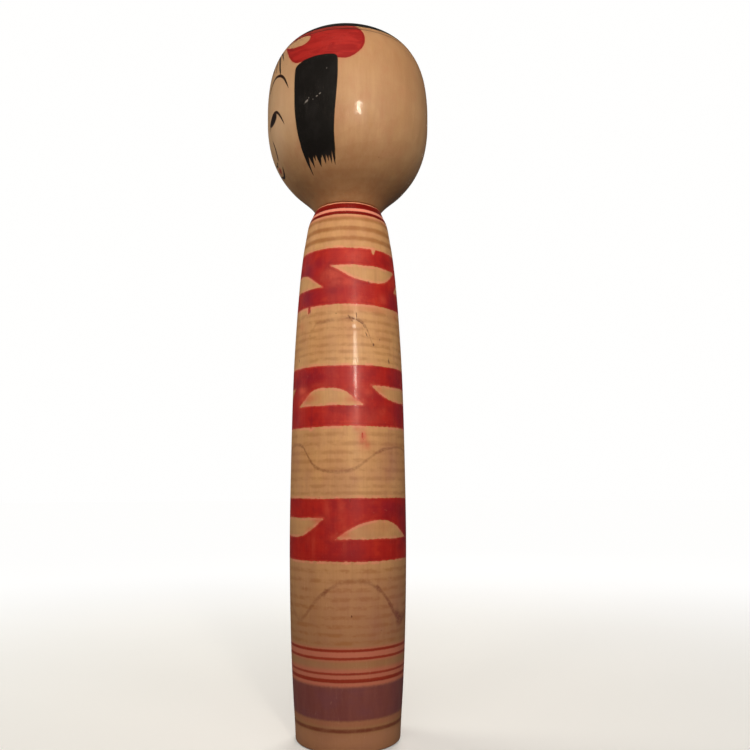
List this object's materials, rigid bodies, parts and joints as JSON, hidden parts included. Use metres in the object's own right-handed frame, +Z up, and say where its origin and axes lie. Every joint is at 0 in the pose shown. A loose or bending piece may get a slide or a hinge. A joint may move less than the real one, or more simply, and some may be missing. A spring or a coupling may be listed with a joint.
{
  "type": "kokeshi doll",
  "caption": "Lathe-turned wooden doll: a rounded head whose tenon snaps into a socket in a slender, slightly swelling column body, so that the head turns.",
  "frame": {"origin": "centre of the flat base, on the surface the doll stands on", "axes": "+Z up along the turning axis, -Y the way the face looks at rest, +X the doll's left"},
  "size_m": [0.0716, 0.0716, 0.303],
  "materials": {
    "head_wood": "waxed satin, painted hair and face",
    "body_wood": "waxed satin, painted bands and rings"
  },
  "bodies": {
    "body": {"body": "body_wood"},
    "head": {"head": "head_wood"}
  },
  "joints": [
    {"name": "head_turn", "type": "hinge", "parent": "body", "child": "head", "pos_m": [0, 0, 0.2246], "axis": [0, 0, 1], "continuous": true}
  ]
}
